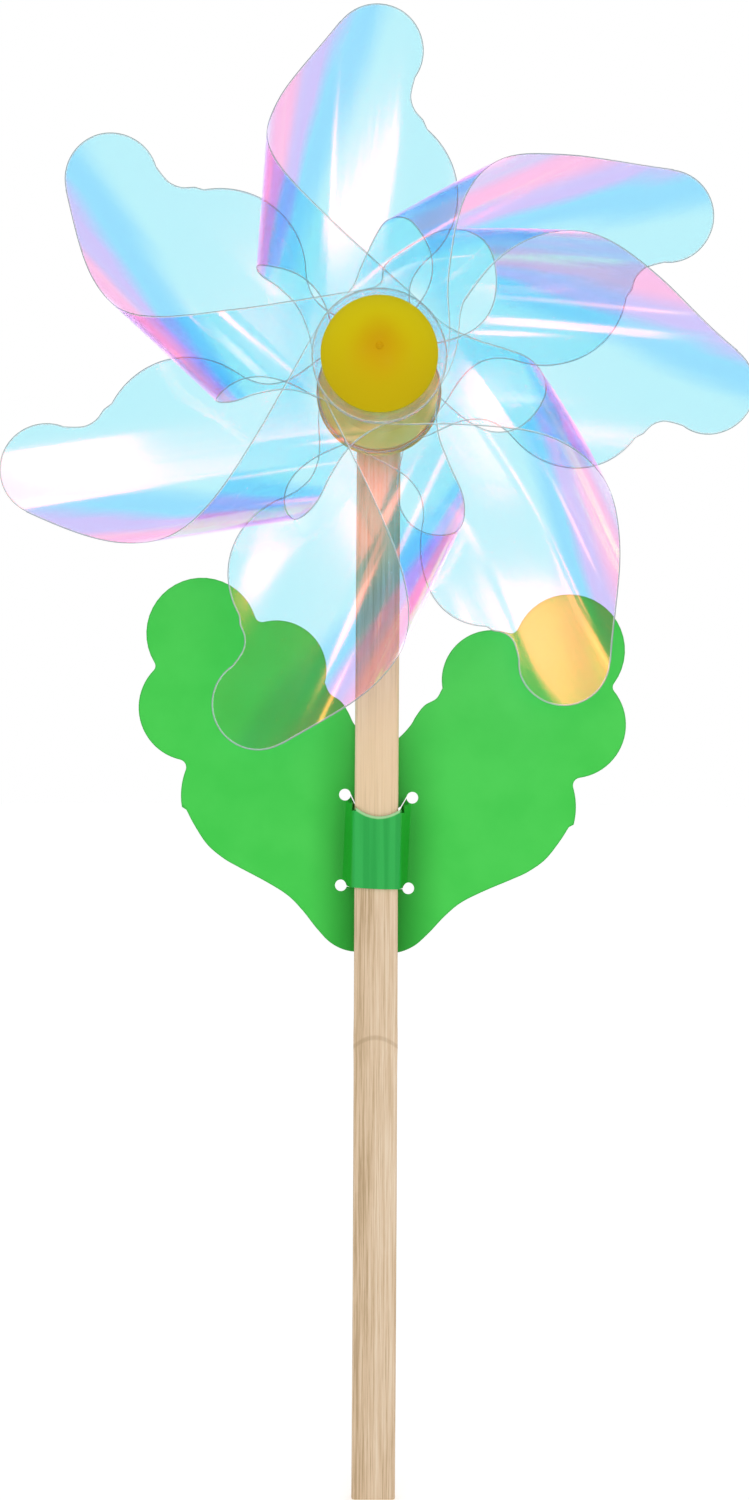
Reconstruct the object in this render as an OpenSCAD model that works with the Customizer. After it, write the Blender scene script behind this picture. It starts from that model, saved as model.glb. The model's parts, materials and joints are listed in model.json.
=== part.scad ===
/* [Wheel] */
// Height of the wheel's axis above the stick's foot
axis_height = 351; // [300:1:420]
// Distance along a flat petal from either end hole to its fold
half_span = 50; // [48:1:52]
// Distance from the back film stack to the front one
roll_depth = 40; // [36:1:42]
// Thickness of the petal film
film = 0.2; // [0.15:0.01:0.22]
// Spacing of the film ends in a stack
film_pitch = 0.3; // [0.28:0.01:0.35]
// Azimuth of each petal, counter-clockwise from +X seen from the front
petal_azimuth = [86, 137.3, 189, 244.5, 304, 357, 389]; // [0:0.1:400]
// Turn of each petal's front arm ahead of its back arm
front_turn = [0, 0, 0, 0, 4, 27, 9]; // [0:1:30]
// Turn of each petal's tip against its neck
tip_turn = [0, 0, 0, 0, -4, -1, -2]; // [-6:1:6]
// How far the curl draws each petal's tip in
draw_in = [0, 0, 0, 2, 5, 4, 1]; // [0:1:6]
// How much further out than the round curl each fold stands
fold_reach = [0, 0, 0, 3, 1, 2, -2]; // [-3:1:4]

/* [Hub] */
// Radius of the back clamp disc
disc_radius = 19.5; // [19:0.1:20]
// Radius of the domed cap
cap_radius = 16.6; // [16:0.1:17]
// Radius of the steel axle
axle_radius = 1.5; // [1.2:0.1:1.8]
// Radial clearance between the axle and the hub's bore
running_fit = 0.05; // [0.02:0.01:0.08]

/* [Stick] */
// Length of the bamboo strip
stick_length = 365; // [360:1:380]
// Width of the bamboo strip
stick_width = 14; // [13:0.5:15]
// Thickness of the bamboo strip
stick_thickness = 5; // [4.5:0.1:5.5]

/* [Leaf] */
// Height of the middle of the leaf's strap above the stick's foot
strap_height = 209; // [190:1:220]
// Clockwise lean of the leaf seen from the front
leaf_lean = 2.3; // [0:0.1:2.5]
// Thickness of the leaf sheet
sheet = 0.5; // [0.4:0.05:0.6]

/* [Hidden] */
$fn = 64;

// Place of each petal in the back stack and in the front one, counted from the stick
back_level = [1, 2, 3, 4, 5, 6, 0];
front_level = [0, 1, 2, 3, 4, 5, 6];
// Film levels behind and in front of the hub body, for the film nearest the stick
back_film_y = -13.2;
front_film_y = back_film_y - roll_depth;
petal_count = len(petal_azimuth);
stack_depth = film_pitch * (petal_count - 1);
roll_radius = roll_depth / 2;
half_roll = 90 * roll_radius * PI / 180;
spigot_radius = 5;
hole_clearance = 0.3;
end_play = 0.35;

// Flat petal outline, with s across the fold and v outward from the end holes
back_end_radius = 19.5;
front_end_radius = 19;
lobe = [-43.8, 61.3, 26.4];
lobe_top = 85.2;
tip = [-41.5, 106, 14.6];
tip_start = 98.3;
tip_tangent = 114.1;
notch_s = -53.9;
neck_edge = [[12, -65.4], [17, -62.8], [23, -59.6], [28, -57.7], [34, -57.4], [39.5, -59.6], [44, -63.4]];
long_edge = [[17.5, 57.4], [23, 52], [32, 40], [46.5, 24], [61, 9], [72, -0.5], [88.5, -12],
             [102.4, -21.5], [tip_tangent, -29.3]];
back_arch = [[12.5, -35], [22, -32.6], [29, -28.8], [33, -23.5], [34, -17]];
front_arch = [[0, 31], [5, 29], [13, 25], [19, 18], [23, 11], [29.4, 0], [34, -17]];
middle_line = [[34, -17], [61, -28], [105, -41], [122, -41]];
arch_top = 34;

function half_chord(radius, offset) = sqrt(max(radius * radius - offset * offset, 0));
function left_edge(v) =
    v < neck_edge[0][0] ? -half_span - half_chord(back_end_radius, v)
    : v < 44 ? lookup(v, neck_edge)
    : v < lobe_top ? lobe[0] - half_chord(lobe[2], v - lobe[1])
    : v < tip_start ? notch_s
    : tip[0] - half_chord(tip[2], v - tip[1]);
function right_edge(v) =
    v < long_edge[0][0] ? half_span + half_chord(front_end_radius, v)
    : v < tip_tangent ? lookup(v, long_edge)
    : tip[0] + half_chord(tip[2], v - tip[1]);
function arch_back_edge(v) =
    v < back_arch[0][0] ? -half_span + half_chord(back_end_radius, v)
    : v < arch_top ? lookup(v, back_arch)
    : lookup(v, middle_line);
function arch_front_edge(v) =
    v < 0 ? half_span - half_chord(front_end_radius, v)
    : v < arch_top ? lookup(v, front_arch)
    : lookup(v, middle_line);

// Rows of the petal mesh, and the columns of its back and front halves
leg_rows = concat([for (a = [9, 32, 60]) -19 * cos(a)], [0, 6, 12, 17.5, 22.5, 28, 32]);
blade_rows = [arch_top, 39, 44, 50, 57, 64, 71, 78, 83, 87, 92, 97, 103, 109, tip_tangent, 117.8, 119.6,
              120.4];
rows = concat(leg_rows, blade_rows);
back_columns = 4;
front_columns = 6;
columns = back_columns + front_columns + 2;

function ramp(low, high, x) = let (t = min(max((x - low) / (high - low), 0), 1)) t * t * (3 - 2 * t);

// Section of the curl: [distance toward the fold, share of the depth, normal toward the fold, normal backward]
function curl(s) =
    s < -half_roll ? [half_span + s, 0, 0, 1]
    : s > half_roll ? [half_span - s, 1, 0, -1]
    : let (a = (s + half_roll) / roll_radius * 180 / PI)
      [half_span - half_roll + roll_radius * sin(a), (1 - cos(a)) / 2, sin(a), cos(a)];

// Point of a curled petal, side -1 or 1 of the film
function petal_point(k, s, v, side) =
    let (c = curl(s),
         q = c[0] + side * film / 2 * c[2] + fold_reach[k] * c[2] * c[2],
         back_y = back_film_y - back_level[k] * film_pitch,
         front_y = front_film_y - front_level[k] * film_pitch,
         sag = 1.4 * ramp(34, 50, v) * ramp(-2, 18, -q),
         y = back_y + (front_y - back_y) * c[1] + side * film / 2 * c[3] + sag,
         out = v - draw_in[k] * ramp(50, 110, v),
         reach = norm([q, out]),
         lead = front_turn[k] * ramp(-12, 36, s) * min(1, 28 / max(reach, 1)) * ramp(15, 26, reach),
         turn = petal_azimuth[k] + atan2(q, out) + lead + tip_turn[k] * ramp(45, 100, reach))
    [reach * cos(turn), y, axis_height + reach * sin(turn)];

// Cylinder along the wheel's axis, from y = from back to y = to in front
module along_axis(radius, from, to) {
    translate([0, from, axis_height]) rotate([90, 0, 0]) cylinder(r = radius, h = from - to);
}

// One end-to-end petal of film, its hole at each end fitting the hub's spigots
module petal(k) {
    legs = len(leg_rows);
    row_points = [for (v = rows) concat(
        [for (i = [0:back_columns]) [left_edge(v) + (arch_back_edge(v) - left_edge(v)) * i / back_columns, v]],
        [for (i = [0:front_columns])
            [arch_front_edge(v) + (right_edge(v) - arch_front_edge(v)) * i / front_columns, v]])];
    flat = [for (r = row_points) for (p = r) p];
    count = len(flat);
    points = concat([for (p = flat) petal_point(k, p[0], p[1], 1)], [for (p = flat) petal_point(k, p[0], p[1], -1)]);
    seam = back_columns;
    // Above the arch the two halves share the seam column
    function at(r, c) = r * columns + (r >= legs && c == seam + 1 ? seam : c);
    cells = [for (r = [0:len(rows) - 2]) for (c = [0:columns - 2]) if (c != seam) [r, c]];
    function quad(r, c, d) = [at(r, c) + d, at(r, c + 1) + d, at(r + 1, c + 1) + d, at(r + 1, c) + d];
    function split(q) = [[q[0], q[1], q[2]], [q[0], q[2], q[3]]];
    function back_to_front(q) = [q[3], q[2], q[1], q[0]];
    function rim(a, b) = [a, a + count, b + count, b];
    last = len(rows) - 1;
    rims = concat(
        [for (r = [0:last - 1]) rim(at(r, 0), at(r + 1, 0))],
        [for (r = [0:last - 1]) rim(at(r + 1, columns - 1), at(r, columns - 1))],
        [for (r = [0:legs - 1]) rim(at(r + 1, seam), at(r, seam))],
        [for (r = [0:legs - 1]) rim(at(r, seam + 1), at(r + 1, seam + 1))],
        [for (c = [0:columns - 2]) if (c != seam) rim(at(0, c + 1), at(0, c))],
        [for (c = [0:columns - 2]) if (c != seam) rim(at(last, c), at(last, c + 1))]);
    faces = concat(
        [for (x = cells) each split(quad(x[0], x[1], 0))],
        [for (x = cells) each split(back_to_front(quad(x[0], x[1], count)))],
        [for (x = rims) each split(x)]);
    color([0.69, 0.93, 0.98, 0.6])
    difference() {
        polyhedron(points = points, faces = faces);
        along_axis(spigot_radius + hole_clearance, -6, -70);
    }
}
module petal_1() { petal(0); }
module petal_2() { petal(1); }
module petal_3() { petal(2); }
module petal_4() { petal(3); }
module petal_5() { petal(4); }
module petal_6() { petal(5); }
module petal_7() { petal(6); }

// Split bamboo strip with rounded long edges and a hole for the axle
module bamboo_stick() {
    edge = 1.2;
    color([0.86, 0.77, 0.62])
    difference() {
        linear_extrude(stick_length) {
            square([stick_width - 2 * edge, stick_thickness], center = true);
            square([stick_width, stick_thickness - 2 * edge], center = true);
            for (x = [-1, 1]) for (y = [-1, 1])
                translate([x * (stick_width / 2 - edge), y * (stick_thickness / 2 - edge)]) circle(r = edge);
        }
        along_axis(axle_radius + 0.02, 10, -10);
    }
}

// Steel nail: its head is inside the cap and its plain end is in the rear cap
pin_back = stick_thickness / 2 + 3;
hub_front = front_film_y + film;
bore_front = hub_front - 6;
module axle_pin() {
    color([0.75, 0.76, 0.78]) {
        along_axis(axle_radius, pin_back, bore_front - end_play);
        along_axis(3.4, bore_front - end_play, bore_front - end_play - 1.2);
    }
}

// Push-on cap that holds the axle behind the stick
module rear_end_cap() {
    back_face = stick_thickness / 2;
    color([0.93, 0.82, 0.12])
    difference() {
        union() {
            along_axis(4.5, back_face + 3, back_face + 0.02);
            along_axis(3.6, back_face + 4.2, back_face + 3);
        }
        along_axis(axle_radius + 0.01, pin_back + 0.01, back_face - 1);
    }
}

// Short tube that keeps the wheel clear of the stick
bush_front = -10.2;
module spacer_bush() {
    color([0.95, 0.95, 0.93])
    difference() {
        along_axis(3.6, -stick_thickness / 2 - 0.02, bush_front);
        along_axis(axle_radius + 0.02, 0, bush_front - 1);
    }
}

// Disc pushed on the hub body's back spigot, behind the film ends
disc_back = bush_front - end_play;
disc_front = back_film_y + film + 0.05;
module rear_clamp_disc() {
    color([0.93, 0.82, 0.12])
    difference() {
        along_axis(disc_radius, disc_back, disc_front);
        along_axis(spigot_radius + 0.02, disc_back + 1, disc_front - 1);
    }
}

// Spool with a bell-shaped body, a through bore and a spigot at each end
body_back = back_film_y - stack_depth - film - 0.05;
body_front = front_film_y + film + 0.05;
cap_back = front_film_y - stack_depth - film - 0.05;
module hub_body() {
    color([0.95, 0.83, 0.12])
    difference() {
        union() {
            translate([0, 0, axis_height]) rotate([90, 0, 0]) rotate_extrude()
                polygon([[0, -disc_back], [spigot_radius, -disc_back], [spigot_radius, -body_back],
                         [disc_radius - 1, -body_back], [disc_radius - 1, 2 - body_back], [15, 8 - body_back],
                         [13.5, -body_front - 6], [15, -body_front], [spigot_radius, -body_front],
                         [spigot_radius, -bore_front], [0, -bore_front]]);
        }
        along_axis(axle_radius + running_fit, 0, -80);
    }
}

// Domed cap pushed on the front spigot, in front of the film ends
dome_height = 8;
module domed_cap() {
    dome_radius = (cap_radius * cap_radius + dome_height * dome_height) / (2 * dome_height);
    wall = 1.4;
    color([0.86, 0.76, 0.08])
    translate([0, cap_back, axis_height]) rotate([90, 0, 0])
    difference() {
        union() {
            cylinder(r = cap_radius, h = 1.2);
            translate([0, 0, 1.2]) intersection() {
                translate([0, 0, dome_height - dome_radius]) sphere(r = dome_radius);
                cylinder(r = cap_radius, h = dome_height);
            }
        }
        translate([0, 0, -1]) cylinder(r = spigot_radius + 0.02, h = 1 + 7);
    }
}

// Strap of the leaf: half its height, half the width of its window, and its clearances round the stick
strap_half = 13;
window_half = 12.8;
strap_end = window_half + 0.4;
strap_back = stick_thickness / 2 + 0.3;
strap_front = -strap_back;
shoulder = stick_width / 2 + 1.6;

// Leaf outline seen from the front, before it leans, about the strap's middle
module leaf_half() {
    translate([59.4, 65.3]) circle(r = 18);
    translate([34.75, 54.5]) circle(r = 16.1);
    translate([61.5, 41.3]) circle(r = 17.3);
    translate([43.5, 13.8]) circle(r = 20.3);
    polygon([[0, 31.5], [5, 34], [9, 38.4], [11, 42], [13.5, 45.4], [19, 49], [34.75, 54.5], [59.4, 65.3],
             [61.5, 41.3], [61.8, 8.2], [54.6, -2.6], [49.2, -6.8], [44, -9.5], [35, -13.8], [28, -17.8],
             [23, -22.4], [18, -28.2], [13.3, -32.6], [7.6, -34.9], [0, -35]]);
}

// Right half of the strap seen from above, from the middle of the stick's front to the window's edge
module strap_section() {
    bend = 1.2;
    polygon([[0, strap_front], [shoulder - bend, strap_front], [shoulder, strap_front + bend],
             [shoulder, strap_back - bend], [shoulder + bend, strap_back + sheet],
             [strap_end, strap_back + sheet], [strap_end, strap_back],
             [shoulder + bend + 0.4, strap_back], [shoulder + sheet, strap_back - bend],
             [shoulder + sheet, strap_front + bend], [shoulder - bend, strap_front - sheet],
             [0, strap_front - sheet]]);
}

// Green sheet: it passes behind the stick, and its strap between two slits passes in front
module leaf() {
    color([0.32, 0.84, 0.36])
    translate([0, 0, strap_height]) rotate([0, leaf_lean, 0]) {
        rotate([90, 0, 0]) translate([0, 0, -strap_back - sheet]) linear_extrude(sheet)
        difference() {
            union() {
                leaf_half();
                mirror([1, 0]) leaf_half();
            }
            square([2 * window_half, 2 * strap_half], center = true);
        }
        translate([0, 0, -strap_half + 0.3]) linear_extrude(2 * strap_half - 0.6) {
            strap_section();
            mirror([1, 0]) strap_section();
        }
    }
}

bamboo_stick();
leaf();
axle_pin();
rear_end_cap();
spacer_bush();
rear_clamp_disc();
hub_body();
domed_cap();
petal_1();
petal_2();
petal_3();
petal_4();
petal_5();
petal_6();
petal_7();
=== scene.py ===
import json
import math

import bpy
import numpy as np
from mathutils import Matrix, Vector


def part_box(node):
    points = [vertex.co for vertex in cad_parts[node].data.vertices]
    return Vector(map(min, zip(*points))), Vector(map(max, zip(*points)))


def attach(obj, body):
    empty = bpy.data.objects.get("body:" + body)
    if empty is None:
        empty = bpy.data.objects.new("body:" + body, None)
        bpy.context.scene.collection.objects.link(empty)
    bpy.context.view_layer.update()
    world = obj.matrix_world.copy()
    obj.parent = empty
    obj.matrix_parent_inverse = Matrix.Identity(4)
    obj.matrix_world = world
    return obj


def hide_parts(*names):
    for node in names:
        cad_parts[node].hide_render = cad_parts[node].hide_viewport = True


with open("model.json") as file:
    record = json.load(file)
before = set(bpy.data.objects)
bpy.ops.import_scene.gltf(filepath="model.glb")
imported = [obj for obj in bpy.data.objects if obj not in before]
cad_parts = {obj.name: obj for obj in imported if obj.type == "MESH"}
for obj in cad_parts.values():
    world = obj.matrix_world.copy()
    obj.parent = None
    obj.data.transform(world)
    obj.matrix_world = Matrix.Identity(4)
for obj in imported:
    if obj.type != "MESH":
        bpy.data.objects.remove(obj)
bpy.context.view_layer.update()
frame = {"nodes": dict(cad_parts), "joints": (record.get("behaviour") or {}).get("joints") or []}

# The studio: a white sweep under the toy, a white room round it, and soft boxes whose reflections run
# along the curled film. The eye is level with about the middle of the whole toy's height.
MM = 0.001
axle_x, _, axle_z = frame["joints"][0]["pos_m"]
eye_distance = 460 * MM
eye_aside = 0.8 * MM
eye_below_axle = 111.7 * MM
camera_roll = math.radians(-0.3)
film_plane_y = -15 * MM
film_passes = 48

camera = bpy.data.objects.new("camera", bpy.data.cameras.new("camera"))
camera.location = (axle_x - eye_aside, -eye_distance, axle_z - eye_below_axle)
camera.rotation_euler = (math.radians(90), camera_roll, 0)
camera.data.lens = 34.4
camera.data.clip_start = 0.01
bpy.context.scene.collection.objects.link(camera)
bpy.context.scene.camera = camera
bpy.context.scene.view_settings.view_transform = "Standard"
bpy.context.scene.cycles.transparent_max_bounces = film_passes


def deselect():
    if bpy.context.mode != "OBJECT":
        bpy.ops.object.mode_set(mode="OBJECT")
    bpy.ops.object.select_all(action="DESELECT")


class Wire:
    """A shader value. Sums and products of wires add their own Math nodes."""

    def __init__(self, finish, socket):
        self.finish, self.socket = finish, socket

    def maths(self, operation, *terms):
        return self.finish.node("ShaderNodeMath", {"operation": operation}, dict(enumerate(terms)))

    def __add__(self, other):
        return self.maths("ADD", self, other)

    def __sub__(self, other):
        return self.maths("SUBTRACT", self, other)

    def __rsub__(self, other):
        return self.maths("SUBTRACT", other, self)

    def __mul__(self, other):
        return self.maths("MULTIPLY", self, other)

    def __truediv__(self, other):
        return self.maths("DIVIDE", self, other)

    def __pow__(self, other):
        return self.maths("POWER", self, other)

    def __abs__(self):
        return self.maths("ABSOLUTE", self)

    __radd__, __rmul__ = __add__, __mul__

    def rise(self, low, high):
        """0 up to low, 1 from high on, smooth between; falls instead where low is above high."""
        settings = {"interpolation_type": "SMOOTHSTEP"}
        ends = {"From Min": min(low, high), "From Max": max(low, high)}
        out = self.finish.node("ShaderNodeMapRange", settings, {"Value": self, **ends})
        return out if low < high else 1 - out


class Finish:
    """A material under construction."""

    def __init__(self, name):
        self.material = bpy.data.materials.new(name)
        self.material.use_nodes = True
        self.tree = self.material.node_tree
        self.tree.nodes.clear()

    def node(self, kind, settings=None, sockets=None, output=0):
        made = self.tree.nodes.new(kind)
        for key, value in (settings or {}).items():
            if key == "stops":
                self.stops(made.color_ramp, value)
            else:
                setattr(made, key, value)
        for key, value in (sockets or {}).items():
            if isinstance(value, Wire):
                self.tree.links.new(value.socket, made.inputs[key])
            else:
                made.inputs[key].default_value = value
        return Wire(self, made.outputs[output]) if made.outputs else made

    def stops(self, ramp, wanted):
        while len(ramp.elements) < len(wanted):
            ramp.elements.new(1.0)
        for element, (place, colour) in zip(ramp.elements, wanted):
            element.position = place
            element.color = (*colour, 1)

    def surface(self, shader):
        self.node("ShaderNodeOutputMaterial", None, {"Surface": shader})
        return self.material

    def place(self, axis=None):
        spot = self.node("ShaderNodeTexCoord", None, None, "Object")
        return spot if axis is None else self.node("ShaderNodeSeparateXYZ", None, {0: spot}, axis)

    def attribute(self, name):
        return self.node("ShaderNodeAttribute", {"attribute_name": name}, None, "Fac")

    def stretched(self, x, y, z):
        """Object coordinates multiplied along each axis, for a pattern that is long one way."""
        factors = {0: self.place(), 1: (x, y, z)}
        return self.node("ShaderNodeVectorMath", {"operation": "MULTIPLY"}, factors)

    def noise(self, vector, scale=1.0, detail=3.0, roughness=0.5):
        return self.node("ShaderNodeTexNoise", None,
                         {"Vector": vector, "Scale": scale, "Detail": detail, "Roughness": roughness})

    def mix(self, factor, a, b):
        return self.node("ShaderNodeMix", {"data_type": "RGBA"}, {0: factor, 6: a, 7: b}, 2)

    def bump(self, height, depth, strength=1.0):
        return self.node("ShaderNodeBump", None,
                         {"Height": height, "Distance": depth, "Strength": strength})


def paint(piece, *materials):
    piece.data.materials.clear()
    for material in materials:
        piece.data.materials.append(material)


def soft_box(name, aim, at, width, height, radiance):
    light = bpy.data.lights.new(name, "AREA")
    light.shape, light.size, light.size_y = "RECTANGLE", width, height
    light.energy = radiance * math.pi * width * height
    lamp = bpy.data.objects.new(name, light)
    lamp.location = at
    lamp.rotation_euler = (Vector(aim) - Vector(at)).to_track_quat("-Z", "Y").to_euler()
    bpy.context.scene.collection.objects.link(lamp)
    return lamp


def card(name, seen_x, seen_z, width, height, lean, radiance):
    """A soft card beside the lens, whose reflection shows at (seen_x, seen_z) mm in the flat films."""
    film = Vector((seen_x * MM, film_plane_y, seen_z * MM))
    eye = camera.location
    at = Vector((2 * film.x - eye.x, eye.y, 2 * film.z - eye.z))
    lamp = soft_box(name, film, at, width * MM, height * MM, radiance)
    lamp.rotation_euler.rotate_axis("Z", math.radians(lean))


for settings in [("upper_card", -2, 410, 36, 120, -40, 1.9), ("long_card", -58, 322, 190, 24, 4, 1.2),
                 ("left_card", -98, 324, 90, 56, 8, 1.9), ("hub_card", -36, 362, 50, 14, -32, 1.1),
                 ("stick_card", 1, 305, 30, 60, 30, 1.9), ("low_card", 2, 262, 30, 50, 30, 1.9),
                 ("slot_card", 37, 338, 30, 60, 30, 2.6), ("right_card", 42, 269, 60, 80, 0, 2.3),
                 ("far_right_card", 66, 268, 44, 90, 0, 1.3)]:
    card(*settings)

# Three long boxes farther out, in metres, light the film's rolls from the sides and from below.
wheel_middle = (axle_x, -33 * MM, axle_z)
strip_y = -0.9
for strip, x, z, width, height, radiance in [("left_strip", -1.0, 0.35, 0.09, 0.9, 1.7),
                                             ("right_strip", 0.95, 0.25, 0.14, 0.9, 1.1),
                                             ("low_strip", -0.1, -0.45, 0.7, 0.07, 1.0)]:
    soft_box(strip, wheel_middle, (x, strip_y, z), width, height, radiance)

# An even room lights what is matt, a much dimmer one shows in what is glossy, and the eye sees white.
world = bpy.data.worlds.new("studio")
bpy.context.scene.world = world
world.use_nodes = True
room = world.node_tree
room.nodes.clear()
ray = room.nodes.new("ShaderNodeLightPath")
light = None
for seen_by, strength in [("", 0.74), ("Is Glossy Ray", 0.07), ("Is Camera Ray", 1.0)]:
    glow = room.nodes.new("ShaderNodeBackground")
    glow.inputs["Color"].default_value = (1, 1, 1, 1)
    glow.inputs["Strength"].default_value = strength
    if light:
        either = room.nodes.new("ShaderNodeMixShader")
        room.links.new(ray.outputs[seen_by], either.inputs[0])
        room.links.new(light.outputs[0], either.inputs[1])
        room.links.new(glow.outputs[0], either.inputs[2])
    light = either if light else glow
sky = room.nodes.new("ShaderNodeOutputWorld")
room.links.new(light.outputs[0], sky.inputs["Surface"])

deselect()
sweep_radius, sweep_drop = 6, 0.6 * MM
bpy.ops.mesh.primitive_circle_add(vertices=96, radius=sweep_radius, fill_type="NGON",
                                  location=(0, 0, -sweep_drop))
floor = bpy.context.object
floor.name = "floor"
sweep = Finish("white_sweep")
paint(floor, sweep.surface(sweep.node("ShaderNodeBsdfPrincipled", None, {
    "Base Color": (0.93, 0.93, 0.93, 1), "Roughness": 0.9, "Specular IOR Level": 0.1,
    "Emission Color": (1, 1, 1, 1), "Emission Strength": 0.35})))
floor.visible_glossy = False


# Bamboo strip: split from a thick culm and planed flat, with its long edges eased and its ends sawn
# square. Fine fibres run its whole length, and the scar of one node crosses it below the leaf.
def take(piece):
    """Makes the piece the only one selected, and active."""
    deselect()
    piece.select_set(True)
    bpy.context.view_layer.objects.active = piece


def mesh_piece(name, body):
    piece = bpy.context.object
    piece.name = name
    piece.data.name = name
    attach(piece, body)
    return piece


def settle(piece):
    """Applies the piece's place, turn and size, so that its place is in its mesh."""
    take(piece)
    bpy.ops.object.transform_apply(location=True, rotation=True, scale=True)


def smooth(piece, crease):
    """Smooth shading, but for edges sharper than the crease angle in degrees."""
    take(piece)
    bpy.ops.object.shade_smooth_by_angle(angle=math.radians(crease))


def apply_modifier(piece, kind, **settings):
    take(piece)
    modifier = piece.modifiers.new(kind.lower(), kind)
    for key, value in settings.items():
        setattr(modifier, key, value)
    bpy.ops.object.modifier_apply(modifier=modifier.name)


def bored(piece, centre, radius, depth):
    """Drills a hole along the wheel's axis."""
    deselect()
    bpy.ops.mesh.primitive_cylinder_add(vertices=48, radius=radius, depth=depth, location=centre,
                                        rotation=(math.radians(90), 0, 0))
    drill = bpy.context.object
    apply_modifier(piece, "BOOLEAN", operation="DIFFERENCE", solver="EXACT", object=drill)
    bpy.data.objects.remove(drill)


stick_low, stick_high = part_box("bamboo_stick")
stick_size = stick_high - stick_low
stick_centre = (stick_high + stick_low) / 2
node_height = 146 * MM
node_reach, node_swell = 5 * MM, 0.018
edge_round = 1.1 * MM
slice_gap = 4 * MM
wander = 0.12 * MM
pin_hole_radius = 1.52 * MM

deselect()
bpy.ops.mesh.primitive_cube_add(size=1, location=stick_centre, scale=stick_size)
stick = mesh_piece("bamboo_stick", "stick")
settle(stick)
bpy.ops.object.mode_set(mode="EDIT")
bpy.ops.mesh.select_mode(type="EDGE")
bpy.ops.mesh.select_all(action="DESELECT")
bpy.ops.object.mode_set(mode="OBJECT")
for edge in stick.data.edges:
    ends = [stick.data.vertices[i].co for i in edge.vertices]
    edge.select = abs(ends[0].z - ends[1].z) > stick_size.z / 2
bpy.ops.object.mode_set(mode="EDIT")
bpy.ops.mesh.bevel(offset=edge_round, segments=6)
bpy.ops.object.mode_set(mode="OBJECT")
for slice_z in np.arange(slice_gap, stick_high.z - slice_gap / 2, slice_gap):
    bpy.ops.object.mode_set(mode="EDIT")
    bpy.ops.mesh.select_all(action="SELECT")
    bpy.ops.mesh.bisect(plane_co=(0, 0, slice_z), plane_no=(0, 0, 1))
    bpy.ops.object.mode_set(mode="OBJECT")
for vertex in stick.data.vertices:
    away = (vertex.co.z - node_height) / node_reach
    swell = 1 + node_swell * math.exp(-away * away)
    drift = wander * math.sin(vertex.co.z * 21) * (0 < vertex.co.z < stick_high.z)
    vertex.co.x = vertex.co.x * swell * (1 - 0.002) + drift * 0.6
    vertex.co.y = vertex.co.y * (1 + (swell - 1) * 1.6) * (1 - 0.004)
bored(stick, (axle_x, 0, axle_z), pin_hole_radius, 20 * MM)
smooth(stick, 40)

bamboo = Finish("bamboo")
fibres = bamboo.noise(bamboo.stretched(2100, 2100, 34), 1.0, 4.0, 0.7)
broad = bamboo.noise(bamboo.stretched(240, 240, 2.5), 1.0, 2.0)
patches = bamboo.noise(bamboo.stretched(60, 60, 14), 1.0, 2.0)
scar_bend = bamboo.place("X") * bamboo.place("X") * 60
scar = abs(bamboo.place("Z") + scar_bend - node_height - 1.5 * MM).rise(1.1 * MM, 0.3 * MM)
grain = bamboo.node("ShaderNodeValToRGB", {"stops": [
    (0.40, (0.52, 0.36, 0.20)), (0.47, (0.70, 0.51, 0.32)),
    (0.53, (0.78, 0.58, 0.39)), (0.62, (0.88, 0.71, 0.52))]},
    {0: fibres * 0.7 + broad * 0.3})
# Painted light: the strip is painted lighter and warmer within about 60 mm of the leaf's height.
painted_light_by_leaf = abs(bamboo.place("Z") - 0.24).rise(60 * MM, 5 * MM)
blotched = bamboo.mix(patches.rise(0.45, 0.7) * 0.35, grain, (0.80, 0.60, 0.40, 1))
warm = bamboo.mix(painted_light_by_leaf * 0.7, blotched, (0.93, 0.69, 0.42, 1))
scarred = bamboo.mix(scar * (patches.rise(0.35, 0.6) * 0.3 + 0.08), warm, (0.40, 0.27, 0.14, 1))
paint(stick, bamboo.surface(bamboo.node("ShaderNodeBsdfPrincipled", None, {
    "Base Color": scarred, "Roughness": 0.5 + fibres * 0.25,
    "Normal": bamboo.bump(fibres * 0.7 + broad * 0.3 - scar * 0.35, 0.25 * MM, 0.6)})))
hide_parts("bamboo_stick")


# Leaf: one piece of green plastic sheet, die cut with round lobes. It lies behind the strip, and the
# strap between its two slits comes round in front and grips; round holes end the slits.
def arc(centre, radius, start, end, count=24):
    """Points along an arc, angles in degrees, anticlockwise where end is above start."""
    angles = np.radians(np.linspace(start, end, count))
    return [(centre[0] + radius * math.cos(a), centre[1] + radius * math.sin(a)) for a in angles]


def through(points, steps=8):
    """A smooth line through a few points, both ends included."""
    p = np.array([2 * np.array(points[0]) - points[1], *points, 2 * np.array(points[-1]) - points[-2]])
    line = []
    for a, b, c, d in zip(p, p[1:], p[2:], p[3:]):
        for t in np.arange(steps) / steps:
            line.append(tuple(0.5 * (2 * b + (c - a) * t + (2 * a - 5 * b + 4 * c - d) * t * t
                                     + (3 * b - a - 3 * c + d) * t ** 3)))
    return line + [tuple(points[-1])]


def point_outwards(piece):
    take(piece)
    bpy.ops.object.mode_set(mode="EDIT")
    bpy.ops.mesh.select_all(action="SELECT")
    bpy.ops.mesh.normals_make_consistent(inside=False)
    bpy.ops.object.mode_set(mode="OBJECT")


def thickened(piece, thickness):
    """A flat piece drawn out upwards into a closed solid."""
    take(piece)
    bpy.ops.object.mode_set(mode="EDIT")
    bpy.ops.mesh.select_all(action="SELECT")
    bpy.ops.mesh.extrude_region_move(TRANSFORM_OT_translate={"value": (0, 0, thickness)})
    point_outwards(piece)


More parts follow.
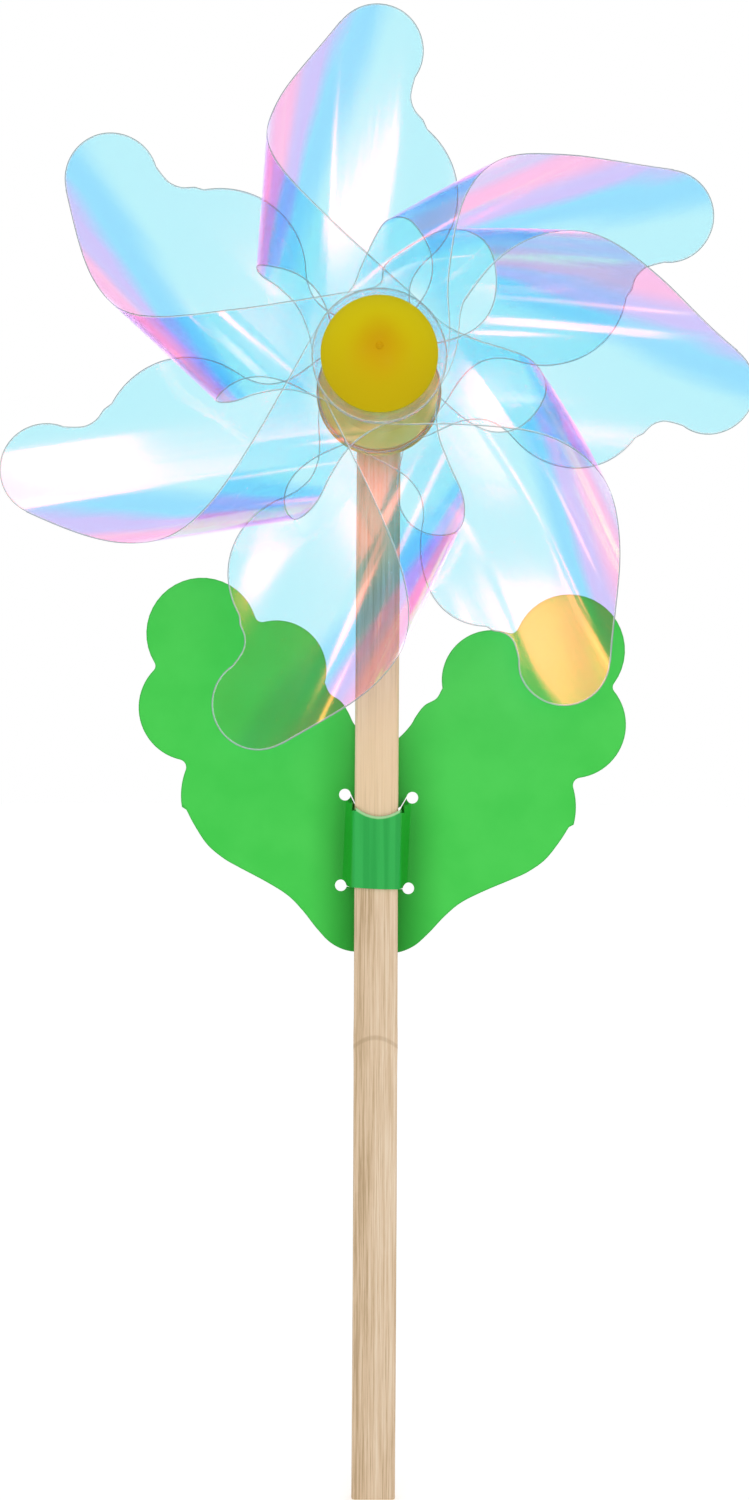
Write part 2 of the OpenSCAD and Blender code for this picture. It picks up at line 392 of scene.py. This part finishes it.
def cut_sheet(name, outline, holes, low, high, cell, thickness):
    """A flat sheet in millimetres, made of cells, cut to an outline and with its holes cut out."""
    blade_reach = 2
    deselect()
    span = np.subtract(high, low)
    bpy.ops.mesh.primitive_grid_add(size=1, x_subdivisions=int(span[0] / cell[0]),
                                    y_subdivisions=int(span[1] / cell[1]))
    sheet = bpy.context.object
    sheet.name = name
    for vertex in sheet.data.vertices:
        vertex.co.x = low[0] + (vertex.co.x + 0.5) * span[0]
        vertex.co.y = low[1] + (vertex.co.y + 0.5) * span[1]
        vertex.co.z = -thickness / 2
    thickened(sheet, thickness)
    for loop, operation in [(outline, "INTERSECT")] + [(hole, "DIFFERENCE") for hole in holes]:
        blade_mesh = bpy.data.meshes.new("blade")
        blade_mesh.from_pydata([(x, y, -blade_reach) for x, y in loop], [], [tuple(range(len(loop)))])
        blade = bpy.data.objects.new("blade", blade_mesh)
        bpy.context.scene.collection.objects.link(blade)
        thickened(blade, 2 * blade_reach)
        apply_modifier(sheet, "BOOLEAN", operation=operation, solver="EXACT", object=blade)
        bpy.data.objects.remove(blade)
    return sheet


def thinned(loop, gap=0.05):
    """The loop without points that lie on their neighbour."""
    kept = [loop[0]]
    for point in loop[1:]:
        if math.dist(point, kept[-1]) > gap:
            kept.append(point)
    return kept if math.dist(kept[0], kept[-1]) > gap else kept[:-1]


def to_loop(points, loop):
    """Distance from each point to a closed loop."""
    a = np.array(loop)
    b = np.roll(a, -1, axis=0)
    best = np.full(len(points), 1e9)
    for p, q in zip(a, b):
        along = q - p
        t = np.clip(((points - p) @ along) / max(along @ along, 1e-12), 0, 1)
        best = np.minimum(best, np.linalg.norm(points - p - t[:, None] * along, axis=1))
    return best


def store(piece, name, values):
    piece.data.attributes.new(name, "FLOAT", "POINT").data.foreach_set("value", np.asarray(values, "f"))


# Lengths are in millimetres. The slits' ends are given from the leaf's origin, which lies in the strap,
# strap_height above the foot. A smile is how far a slit's middle sags below its ends.
sheet_thickness = 0.5
strap_height = 209
slit_end = 10.9
slit_half_width = 0.3
slit_hole_radius = 1.9
top_slit, top_smile = 15.4, 6
low_slit, low_smile = -13.9, 0.4
leaf_lean = math.radians(2.3)


def lobes(circles, fillets, start, end):
    """Points anticlockwise round a row of overlapping circles, a concave fillet between neighbours."""
    line = []
    for (centre, radius), after, fillet in zip(circles, circles[1:] + [None], fillets + [None]):
        if after is None:
            line += arc(centre, radius, start, end, 30)
            break
        a, b = Vector(centre), Vector(after[0])
        reach_a, reach_b, apart = radius + fillet, after[1] + fillet, (b - a).length
        along = (reach_a ** 2 - reach_b ** 2 + apart ** 2) / (2 * apart)
        way = (b - a) / apart
        heart = a + way * along + Vector((way.y, -way.x)) * math.sqrt(reach_a ** 2 - along ** 2)
        to_heart = math.degrees(math.atan2(*(heart - a).yx))
        onward = math.degrees(math.atan2(*(heart - b).yx))
        line += arc(centre, radius, start, start + (to_heart - start) % 360, 24)
        line += arc(heart, fillet, to_heart + 180, to_heart + 180 - (to_heart - onward) % 360, 8)[1:-1]
        start = onward
    return line


right_half = (
    through([(0, -35), (7.6, -34.9), (13.3, -32.6), (18, -28.2), (23, -22.4), (28, -17.8),
             (35, -13.8), (44, -9.5), (49.2, -6.8), (54.6, -2.6), (59, 3.4), (61.8, 8.2)])
    + lobes([((41, 13.8), 22.8), ((61.5, 41.3), 17.3), ((59.4, 65.3), 18), ((34.75, 54.5), 16.1)],
            [2.5, 2, 2.5], -12, 192)
    + through([(19, 51.2), (17.2, 47.8), (13.5, 45.4), (11, 42), (9, 38.4), (5, 34), (0, 31.5)]))
left_half = [(-x, z) for x, z in reversed(right_half)]
leaf_loop = thinned(right_half + left_half)


def slit(height, smile):
    """A narrow slit, bowed by smile, with a round hole at each end."""
    bow = [(x, height - smile * (1 - (x / slit_end) ** 2)) for x in np.linspace(-slit_end, slit_end, 13)]
    between_holes = bow[2:-2]
    lower_lip = [(x, z - slit_half_width) for x, z in between_holes]
    upper_lip = [(x, z + slit_half_width) for x, z in reversed(between_holes)]
    right = arc(bow[-1], slit_hole_radius, -170, 170, 20)
    left = arc(bow[0], slit_hole_radius, 10, 350, 20)
    return thinned(lower_lip + right + upper_lip + left)


slits = [slit(top_slit, top_smile), slit(low_slit, low_smile)]
leaf = cut_sheet("leaf", leaf_loop, slits, low=(-84, -40), high=(84, 90), cell=(0.7, 2.4),
                 thickness=sheet_thickness)
leaf_flat = np.array([vertex.co for vertex in leaf.data.vertices])
store(leaf, "to_edge", to_loop(leaf_flat[:, :2], leaf_loop))
store(leaf, "to_slit", np.minimum(*[to_loop(leaf_flat[:, :2], opening) for opening in slits]))

# The strap clears the strip's faces and edges by these, in millimetres.
face_room, side_room = 0.3, 0.4
strap_gap = stick_size.y / 2 / MM + face_room + sheet_thickness / 2
shoulder = stick_size.x / 2 / MM + side_room


def ramp(low, high, x):
    """0 up to low, 1 from high on, smooth between."""
    t = np.clip((x - low) / (high - low), 0, 1)
    return t * t * (3 - 2 * t)


def leaf_depth(x, z):
    """How far behind the strip's middle the sheet lies, in millimetres."""
    bow = 1 - (x / slit_end) ** 2
    below_top, above_low = z < top_slit - top_smile * bow, z > low_slit - low_smile * bow
    in_strap = (np.abs(x) < slit_end) & below_top & above_low
    front = -strap_gap + 2 * strap_gap * ramp(shoulder, slit_end, np.abs(x))
    wing = strap_gap - 0.6 * ramp(14, 40, np.abs(x)) + 0.9 * ramp(45, 80, np.abs(x))
    return np.where(in_strap, front, wing)


store(leaf, "strap", leaf_depth(leaf_flat[:, 0], leaf_flat[:, 1]) < strap_gap / 2)
for vertex, (x, z, level) in zip(leaf.data.vertices, leaf_flat):
    depth = float(leaf_depth(np.float64(x), np.float64(z))) - level
    turned_x = x * math.cos(leaf_lean) + z * math.sin(leaf_lean)
    turned_z = z * math.cos(leaf_lean) - x * math.sin(leaf_lean)
    vertex.co = (turned_x * MM, depth * MM, (strap_height + turned_z) * MM)
leaf.data.update()
leaf.name = "leaf"
point_outwards(leaf)
smooth(leaf, 35)
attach(leaf, "leaf")
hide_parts("leaf")

green = Finish("green_sheet")
mottle = green.noise(green.place(), 55, 3.0)
to_edge = green.attribute("to_edge")
to_slit = green.attribute("to_slit")
strap = green.attribute("strap")
over_wood = strap.rise(0.4, 0.9) * abs(green.place("X")).rise(8.2 * MM, 7.2 * MM)
# Painted highlight: a bright rim along the strap's top slit, where it lies over the wood.
painted_highlight_lip = to_slit.rise(1.0, 0.5) * over_wood * green.place("Z").rise(208 * MM, 212 * MM)
wood_behind = green.noise(green.stretched(330, 330, 6), 1.0, 3.0)
# Painted shade: a darker line along the sheet's cut edge.
painted_edge_shade = to_edge.rise(0.45, 0.15)
# Painted shade: the sheet is painted darker beside the strip, the more so lower down.
near_stick = abs(green.place("X")).rise(24 * MM, 6 * MM)
low_down = green.place("Z").rise(268 * MM, 205 * MM)
leaf_colour = green.mix(mottle.rise(0.3, 0.7), (0.046, 0.68, 0.066, 1), (0.060, 0.72, 0.078, 1))
painted_shade_by_stick = green.mix(near_stick * low_down, leaf_colour, (0.006, 0.38, 0.016, 1))
woody = green.mix(wood_behind.rise(0.4, 0.6), (0.012, 0.45, 0.07, 1), (0.026, 0.53, 0.092, 1))
strapped = green.mix(over_wood * 0.9, painted_shade_by_stick, woody)
with_painted_highlight_lip = green.mix(painted_highlight_lip * 0.75, strapped, (0.50, 0.80, 0.42, 1))
lined = green.mix(painted_edge_shade * 0.5, with_painted_highlight_lip, (0.03, 0.36, 0.045, 1))
skin = green.noise(green.place(), 1400, 2.0)
paint(leaf, green.surface(green.node("ShaderNodeBsdfPrincipled", None, {
    "Base Color": lined, "Roughness": 0.32 + mottle * 0.12, "Specular IOR Level": 0.45,
    "Coat Weight": 0.25, "Coat Roughness": 0.18,
    "Normal": green.bump(skin * 0.4 + mottle * 0.6, 0.08 * MM, 0.35)})))


# Axle: a plain steel nail through the strip, with its head under the cap. A push-on cap holds it
# behind the strip, and a short plastic tube keeps the wheel off the wood.
steel = Finish("drawn_steel")
drawn = steel.noise(steel.stretched(3000, 40, 3000), 1.0, 2.0)
paint(frame["nodes"]["axle_pin"], steel.surface(steel.node("ShaderNodeBsdfPrincipled", None, {
    "Base Color": steel.mix(drawn, (0.50, 0.50, 0.51, 1), (0.72, 0.72, 0.73, 1)), "Metallic": 1.0,
    "Roughness": 0.24 + drawn * 0.2})))

tube = Finish("white_tube")
cloud = tube.noise(tube.place(), 300, 2.0)
paint(frame["nodes"]["spacer_bush"], tube.surface(tube.node("ShaderNodeBsdfPrincipled", None, {
    "Base Color": tube.mix(cloud, (0.80, 0.80, 0.76, 1), (0.90, 0.90, 0.88, 1)),
    "Roughness": 0.35 + cloud * 0.15, "Coat Weight": 0.2})))


# Hub: yellow moulded plastic. A bell-shaped spool stands between the two stacks of film ends, a disc
# clamps the back stack and a glossy dome the front one. The dome is a warmer orange at its middle,
# and its upper half is painted lighter, a painted light from above.
def turned(name, body, sections, sides=96):
    """A turned piece about the wheel's axis, from (depth, radius) in millimetres, back to front."""
    deselect()
    depth, radius = sections[0]
    bpy.ops.mesh.primitive_circle_add(vertices=sides, radius=radius * MM, fill_type="NGON",
                                      location=(axle_x, depth * MM, axle_z),
                                      rotation=(math.radians(90), 0, 0))
    piece = mesh_piece(name, body)
    settle(piece)
    bpy.ops.object.mode_set(mode="EDIT")
    bpy.ops.mesh.select_mode(type="FACE")
    bpy.ops.mesh.select_all(action="SELECT")
    for (old_depth, old_radius), (depth, radius) in zip(sections, sections[1:]):
        step = (0, (depth - old_depth) * MM, 0)
        bpy.ops.mesh.extrude_region_move(TRANSFORM_OT_translate={"value": step})
        grow = radius / old_radius
        bpy.ops.transform.resize(value=(grow, 1, grow), center_override=(axle_x, depth * MM, axle_z))
    point_outwards(piece)
    smooth(piece, 30)
    return piece


cap_low, cap_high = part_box("domed_cap")
cap_back, cap_front = cap_high.y / MM, cap_low.y / MM
cap_radius = (cap_high.x - cap_low.x) / 2 / MM
rim = 1.2
dimple_edge = 4.2
dome_height = cap_back - rim - cap_front
dome_radius = (cap_radius ** 2 + dome_height ** 2) / (2 * dome_height)
dome_centre = cap_front + dome_radius
widest = math.degrees(math.asin(cap_radius / dome_radius))
skirt = [(cap_back, cap_radius - 0.5), (cap_back - 0.15, cap_radius - 0.15),
         (cap_back - 0.5, cap_radius), (cap_back - rim + 0.2, cap_radius)]
dome = [(dome_centre - dome_radius * math.cos(a), dome_radius * math.sin(a))
        for a in np.radians(np.linspace(widest, dimple_edge, 24))]
dimple = [(cap_front + 0.06, 1.1), (cap_front + 0.3, 0.95), (cap_front + 0.42, 0.6),
          (cap_front + 0.3, 0.25), (cap_front + 0.25, 0.05)]
cap = turned("domed_cap", "wheel", skirt + dome[1:] + dimple)
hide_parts("domed_cap")

glaze = Finish("cap_yellow")
off_x = glaze.place("X") - axle_x
off_z = glaze.place("Z") - axle_z
off_axis = (off_x * off_x + off_z * off_z) ** 0.5
cloudy = glaze.noise(glaze.place(), 90, 2.0)
warm_middle = (off_axis + cloudy * 4 * MM).rise(13 * MM, 2 * MM)
# Painted light: the dome's upper half is painted a lighter yellow, as if lit from above.
upper = (glaze.place("Z") - axle_z).rise(-14 * MM, 16 * MM)
yellow = glaze.mix(upper, (0.55, 0.40, 0.001, 1), (0.70, 0.58, 0.002, 1))
paint(cap, glaze.surface(glaze.node("ShaderNodeBsdfPrincipled", None, {
    "Base Color": glaze.mix(warm_middle, yellow, (0.62, 0.345, 0.001, 1)),
    "Roughness": 0.42 + cloudy * 0.1, "Coat Weight": 0.05, "Coat Roughness": 0.2,
    "Specular IOR Level": 0.04, "Normal": glaze.bump(cloudy, 0.1 * MM, 0.25)})))

moulded = Finish("hub_yellow")
swirl = moulded.noise(moulded.place(), 120, 3.0)
hub_colour = moulded.mix(swirl.rise(0.35, 0.65), (0.70, 0.50, 0.11, 1), (0.78, 0.59, 0.18, 1))
hub_finish = moulded.surface(moulded.node("ShaderNodeBsdfPrincipled", None, {
    "Base Color": hub_colour, "Roughness": 0.26 + swirl * 0.1, "Coat Weight": 0.35, "Coat Roughness": 0.1,
    "Normal": moulded.bump(swirl, 0.12 * MM, 0.3)}))
for node_name in ("hub_body", "rear_clamp_disc", "rear_end_cap"):
    paint(frame["nodes"][node_name], hub_finish)


# Petals: seven like pieces of clear iridescent film, die cut to a two-lobed blade with a round end
# at each side. Both ends are pushed on the hub, one behind and one in front, so each blade curls.
# Lengths are in millimetres and angles in degrees. Each list holds one value for each petal: the way
# it points, how far its front end is turned ahead, how its tip is turned and drawn in, and how far its
# fold stands out. The last is the order of the back ends in their stack.
half_span = 50
roll_depth = 40
roll_radius = roll_depth / 2
half_roll = math.pi * roll_radius / 2
end_radius = 19.2
end_hole_radius = 5.3
front_sag = 1.4
film = 0.2
film_pitch = 0.3
back_film_y = -13.2
front_film_y = back_film_y - roll_depth
azimuths = [86, 137.3, 189, 244.5, 304, 357, 389]
front_turns = [0, 0, 0, 0, 4, 27, 9]
tip_turns = [0, 0, 0, 0, -4, -1, -2]
draws_in = [0, 0, 0, 2, 5, 4, 1]
fold_reaches = [0, 0, 0, 3, 1, 2, -2]
back_levels = [1, 2, 3, 4, 5, 6, 0]

petal_loop = thinned(
    arc((-half_span, 0), end_radius, 142, 400, 48)
    + through([(-35.3, 12.4), (-32.6, 22), (-28.8, 29), (-23.5, 33), (-17, 34), (-8, 32.3), (0, 29.4),
               (11, 23), (18, 19), (25, 13), (29, 6), (30.8, 0)])
    + arc((half_span, 0), end_radius, 181, 408, 44)
    + through([(62.8, 14.3), (57, 19.2), (46, 27.8), (32, 39), (18, 52), (0, 71.5), (-12, 88.5),
               (-21.5, 102.4), (-29.3, 114.1)])
    + arc((-41.5, 106), 14.5, 34, 211, 40)
    + through([(-53.9, 98.3), (-53.3, 95), (-53.2, 91.8), (-54.6, 88.4), (-57.5, 85.6)], 6)
    + arc((-43.8, 61.3), 26.4, 125, 220, 40)
    + through([(-63.9, 44.2), (-59.9, 39.5), (-57.5, 34), (-57.7, 28), (-59.6, 23), (-62.8, 17),
               (-65, 11.9)]))
end_holes = [arc((side * half_span, 0), end_hole_radius, 0, 350, 36) for side in (-1, 1)]
blank = cut_sheet("petal_blank", petal_loop, end_holes, low=(-72, -22), high=(72, 124),
                  cell=(1.1, 1.9), thickness=film)
flat = np.array([vertex.co for vertex in blank.data.vertices])
store(blank, "across", flat[:, 0])
store(blank, "outward", flat[:, 1])
store(blank, "to_edge", to_loop(flat[:, :2], petal_loop))
store(blank, "to_hub", np.hypot(np.abs(flat[:, 0]) - half_span, flat[:, 1]))


def curled(k, s, v, level):
    """Where a point of the flat film comes to on petal k, in metres.

    s runs across the film from its back end to its front end, v outwards, and level through it.
    """
    angle = np.clip((s + half_roll) / roll_radius, 0, math.pi)
    on_roll = half_span - half_roll + roll_radius * np.sin(angle)
    toward = np.where(s < -half_roll, half_span + s, np.where(s > half_roll, half_span - s, on_roll))
    toward = toward + level * np.sin(angle) + fold_reaches[k] * np.sin(angle) ** 2
    back_y = back_film_y - back_levels[k] * film_pitch
    front_y = front_film_y - k * film_pitch
    sag = front_sag * ramp(34, 50, v) * ramp(-2, 18, -toward)
    depth = back_y + (front_y - back_y) * (1 - np.cos(angle)) / 2 + level * np.cos(angle) + sag
    out = v - draws_in[k] * ramp(50, 110, v)
    reach = np.hypot(toward, out)
    fading = np.minimum(1, 28 / np.maximum(reach, 1)) * ramp(15, 26, reach)
    lead = front_turns[k] * ramp(-12, 36, s) * fading
    turn = np.radians(azimuths[k] + lead + tip_turns[k] * ramp(45, 100, reach)) + np.arctan2(toward, out)
    x = axle_x + reach * np.cos(turn) * MM
    z = axle_z + reach * np.sin(turn) * MM
    return np.stack([x, depth * MM, z], axis=1)


clear = Finish("iridescent_film")
across = clear.attribute("across")
outward = clear.attribute("outward")
to_cut = clear.attribute("to_edge")
along_fold = clear.node("ShaderNodeCombineXYZ", None,
                        {0: across * 0.09, 1: outward * 0.012, 2: clear.place("X") * 6})
streaks = clear.noise(along_fold, 1.0, 3.0)
finer = clear.node("ShaderNodeCombineXYZ", None, {0: across * 0.5, 1: outward * 0.02})
fine_streaks = clear.noise(finer, 1.0, 2.0)
fan = outward * 0.009 + 0.3
bend = abs(across + (streaks - 0.5) * 9) / (half_roll * fan)


def passing(colour):
    """A face that lets one tint of light through. Each film has two such faces."""
    return clear.node("ShaderNodeBsdfTransparent", None, {"Color": (*[c ** 0.5 for c in colour], 1)})


def blend_shaders(factor, a, b):
    return clear.node("ShaderNodeMixShader", None, {0: factor, 1: a, 2: b})


to_hub = clear.attribute("to_hub")
by_hub = to_hub.rise(27, 17)
tint = passing((0.46, 0.888, 0.97))
for colour, start, end in [((0.27, 0.74, 0.99), 1.15, 0.86), ((0.56, 0.56, 0.97), 0.8, 0.64),
                           ((0.93, 0.50, 0.82), 0.58, 0.42), ((0.66, 0.60, 0.93), 0.28, 0.1)]:
    tint = blend_shaders(bend.rise(start, end), tint, passing(colour))
tint = blend_shaders(by_hub * 0.8, tint, passing((0.90, 0.965, 0.975)))
mirror_colour = clear.node("ShaderNodeValToRGB", {"stops": [
    (0.0, (0.34, 0.30, 0.08)), (0.2, (0.20, 0.40, 0.10)), (0.36, (0.34, 0.36, 0.05)),
    (0.48, (0.56, 0.20, 0.03)), (0.66, (0.48, 0.07, 0.035)), (0.9, (0.38, 0.055, 0.035))]},
    {0: bend * 0.8})
mirror = clear.mix(by_hub * 0.7, mirror_colour, (0.05, 0.028, 0.012, 1))
gloss = clear.node("ShaderNodeBsdfPrincipled", None, {
    "Base Color": mirror, "Metallic": 1.0, "Roughness": 0.1 + streaks * 0.06,
    "Normal": clear.bump(fine_streaks * 0.4 + streaks, 0.5 * MM, 0.18)})
film_face = clear.node("ShaderNodeAddShader", None, {0: tint, 1: gloss})
# Painted shade and painted highlight: a dark line along each cut edge and a bright line just inside it,
# both weaker near the hub.
painted_shade_cut_line = clear.node("ShaderNodeBsdfPrincipled", None, {
    "Base Color": (0.22, 0.33, 0.33, 1), "Roughness": 0.4, "Specular IOR Level": 0.1})
painted_highlight_line = clear.node("ShaderNodeBsdfPrincipled", None, {
    "Base Color": (0.95, 0.98, 0.98, 1), "Roughness": 0.4})
open_edge = to_hub.rise(19, 23) * 0.7 + 0.3
film_with_painted_highlight = blend_shaders(to_cut.rise(0.6, 0.4) * open_edge * 0.3, film_face, painted_highlight_line)
film_with_painted_lines = blend_shaders(to_cut.rise(0.26, 0.14) * open_edge * 0.65, film_with_painted_highlight, painted_shade_cut_line)
lamp_ray = clear.node("ShaderNodeLightPath", None, None, "Is Shadow Ray")
film_finish = clear.surface(blend_shaders(lamp_ray, film_with_painted_lines, clear.node("ShaderNodeBsdfTransparent")))

for k in range(len(azimuths)):
    petal = blank.copy()
    petal.data = blank.data.copy()
    bpy.context.scene.collection.objects.link(petal)
    petal.name = petal.data.name = f"petal_{k + 1}"
    petal.data.vertices.foreach_set("co", curled(k, flat[:, 0], flat[:, 1], flat[:, 2]).ravel())
    petal.data.update()
    point_outwards(petal)
    smooth(petal, 35)
    paint(petal, film_finish)
    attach(petal, "wheel")
    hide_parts(f"petal_{k + 1}")
bpy.data.objects.remove(blank)
